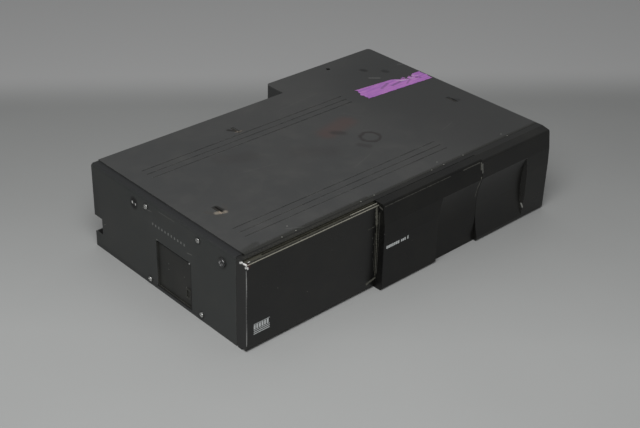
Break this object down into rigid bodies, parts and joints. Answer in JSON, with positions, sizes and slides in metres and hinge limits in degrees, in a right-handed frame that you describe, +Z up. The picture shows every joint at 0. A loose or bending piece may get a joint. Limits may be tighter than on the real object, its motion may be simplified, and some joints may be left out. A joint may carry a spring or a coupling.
{
  "type": "car cd changer",
  "caption": "Low steel-cased car disc changer with a sliding front door, a removable disc magazine behind it and a screw-driven player deck.",
  "frame": {"origin": "on the ground, under the middle of the case", "axes": "+X to the right along the front, +Y to the back, +Z up; the door faces -Y"},
  "size_m": [0.3912, 0.2604, 0.09],
  "materials": {
    "case_paint": "charcoal satin paint on pressed steel",
    "front_plastic": "near-black moulded plastic, worn shiny at the edges",
    "bay_plastic": "dark moulded plastic",
    "bright_screw": "bright zinc plate",
    "dark_bolt": "black oxide",
    "plated_sheet": "zinc plated sheet",
    "ground_steel": "ground steel rod",
    "damper_rubber": "soft oil-filled rubber",
    "magazine_plastic": "fine grained moulded plastic",
    "tray_plastic": "grey moulded plastic",
    "disc_mirror": "metallised polycarbonate",
    "key_plastic": "dark moulded plastic",
    "light_plastic": "natural acetal",
    "brass_bush": "turned brass",
    "motor_can": "drawn steel can",
    "sled_plastic": "glass filled plastic",
    "lens_glass": "coated lens",
    "board_green": "glass epoxy with solder mask",
    "board_post": "hexagon brass",
    "chip_black": "moulded epoxy",
    "can_sleeve": "shrink sleeve",
    "sink_metal": "bare extrusion",
    "socket_plastic": "moulded plastic"
  },
  "bodies": {
    "case": {"bottom_chassis": "case_paint", "top_cover": "case_paint", "left_side_plate": "case_paint", "right_side_plate": "case_paint", "front_fascia": "front_plastic", "side_bay_cover": "bay_plastic", "side_screws": "bright_screw", "bracket_nuts": "dark_bolt", "bracket_bolts": "dark_bolt", "notch_screw": "bright_screw", "cover_screws": "bright_screw", "mech_chassis": "plated_sheet", "mech_dampers": "damper_rubber", "magazine_guide": "plated_sheet", "eject_switch": "chip_black", "eject_stem_guide": "light_plastic", "lift_posts": "ground_steel", "lift_top_frame": "plated_sheet", "frame_screws": "bright_screw", "lift_motor": "motor_can", "main_board": "board_green", "board_standoffs": "board_post", "board_screws": "bright_screw", "board_chips": "chip_black", "board_capacitors": "can_sleeve", "heat_sink": "sink_metal", "power_transistors": "chip_black", "din_socket": "socket_plastic"},
    "door": {"sliding_door": "front_plastic"},
    "eject_key": {"eject_button": "key_plastic"},
    "magazine": {"magazine_shell": "magazine_plastic", "disc_trays": "tray_plastic", "discs": "disc_mirror"},
    "deck": {"deck_frame": "plated_sheet", "deck_bushes": "brass_bush", "lift_nut": "brass_bush", "spindle_motor": "motor_can", "sled_rods": "ground_steel", "sled_motor": "motor_can", "sled_screw_bearing": "light_plastic", "clamp_pin": "ground_steel"},
    "spindle": {"turntable": "light_plastic"},
    "sled": {"pickup_sled": "sled_plastic", "objective_lens": "lens_glass"},
    "sled_drive": {"sled_screw": "ground_steel"},
    "arm": {"clamp_arm": "plated_sheet"},
    "clamp_disc": {"clamper": "light_plastic"},
    "lift_drive": {"lift_screw": "ground_steel", "lift_gear": "light_plastic"},
    "pinion": {"motor_pinion": "light_plastic"}
  },
  "joints": [
    {"name": "door_slide", "type": "slide", "parent": "case", "child": "door", "axis": [-1, 0, 0], "range_m": [0, 0.132]},
    {"name": "eject_press", "type": "slide", "parent": "case", "child": "eject_key", "axis": [0, 1, 0], "range_m": [0, 0.0025], "stiffness_N_per_m": 400, "springref_m": -0.002},
    {"name": "magazine_eject", "type": "slide", "parent": "case", "child": "magazine", "axis": [0, -1, 0], "range_m": [0, 0.0105]},
    {"name": "deck_lift", "type": "slide", "parent": "case", "child": "deck", "axis": [0, 0, 1], "range_m": [0, 0.0468]},
    {"name": "lift_screw_spin", "type": "hinge", "parent": "case", "child": "lift_drive", "pos_m": [-0.05725, 0.03095, 0.04], "axis": [0, 0, 1], "range_deg": [0, 2110]},
    {"name": "pinion_spin", "type": "hinge", "parent": "case", "child": "pinion", "pos_m": [-0.05725, 0.05495, 0.084], "axis": [0, 0, 1], "range_deg": [-6330, 0]},
    {"name": "turntable_spin", "type": "hinge", "parent": "deck", "child": "spindle", "pos_m": [-0.11325, -0.04405, 0.018], "axis": [0, 0, 1], "continuous": true},
    {"name": "sled_slide", "type": "slide", "parent": "deck", "child": "sled", "axis": [0, 1, 0], "range_m": [0, 0.035]},
    {"name": "sled_screw_spin", "type": "hinge", "parent": "deck", "child": "sled_drive", "pos_m": [-0.08965, 0, 0.0124], "axis": [0, 1, 0], "range_deg": [0, 6310]},
    {"name": "clamp_tilt", "type": "hinge", "parent": "deck", "child": "arm", "pos_m": [-0.11325, 0.02895, 0.025], "axis": [-1, 0, 0], "range_deg": [0, 7], "stiffness_Nm_per_rad": 0.05, "springref_deg": -17.19},
    {"name": "clamper_spin", "type": "hinge", "parent": "arm", "child": "clamp_disc", "pos_m": [-0.11325, -0.04405, 0.022], "axis": [0, 0, 1], "continuous": true}
  ],
  "couplings": [
    {"joint": "lift_screw_spin", "follows": "deck_lift", "rad_per_m": 785.4},
    {"joint": "pinion_spin", "follows": "deck_lift", "rad_per_m": -2356.2},
    {"joint": "sled_screw_spin", "follows": "sled_slide", "rad_per_m": 3141.6}
  ]
}
